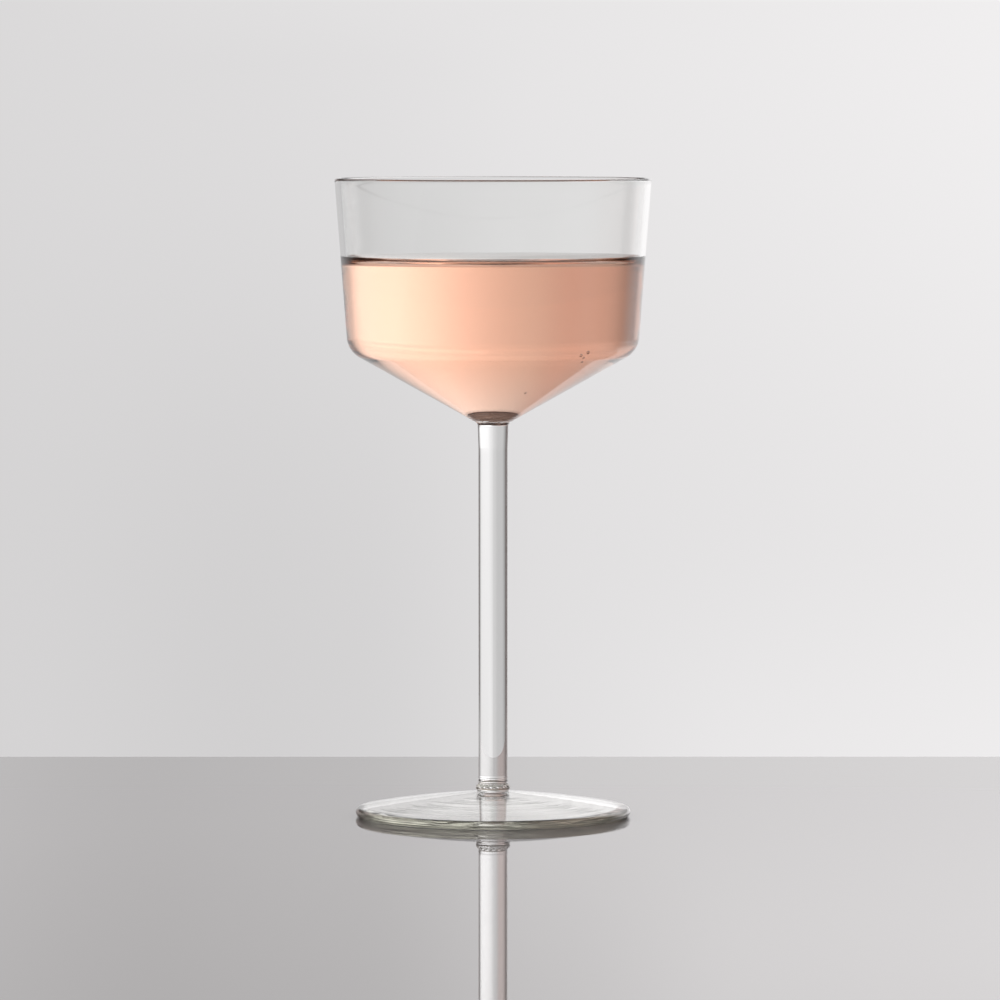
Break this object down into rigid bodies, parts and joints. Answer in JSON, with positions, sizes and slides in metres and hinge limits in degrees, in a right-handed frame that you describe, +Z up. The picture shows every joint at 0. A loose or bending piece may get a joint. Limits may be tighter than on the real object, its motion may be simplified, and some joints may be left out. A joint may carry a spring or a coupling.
{
  "type": "coupe glass",
  "caption": "Clear coupe glass with a straight-walled bowl on a conical floor, a slim solid stem and a gently domed round foot, fused at weld collars.",
  "frame": {"origin": "centre of the foot's underside, on the surface that the glass stands on", "axes": "+Z up along the stem, towards the rim; the shape is turned about Z"},
  "size_m": [0.0866, 0.0866, 0.175],
  "materials": {
    "clear_glass": "fire-polished clear glass",
    "rose_wine": "clear pale pink liquid, for the drink shown in the bowl"
  },
  "bodies": {
    "root": {"foot": "clear_glass", "lower_collar": "clear_glass", "stem": "clear_glass", "upper_collar": "clear_glass", "bowl": "clear_glass"}
  },
  "joints": []
}
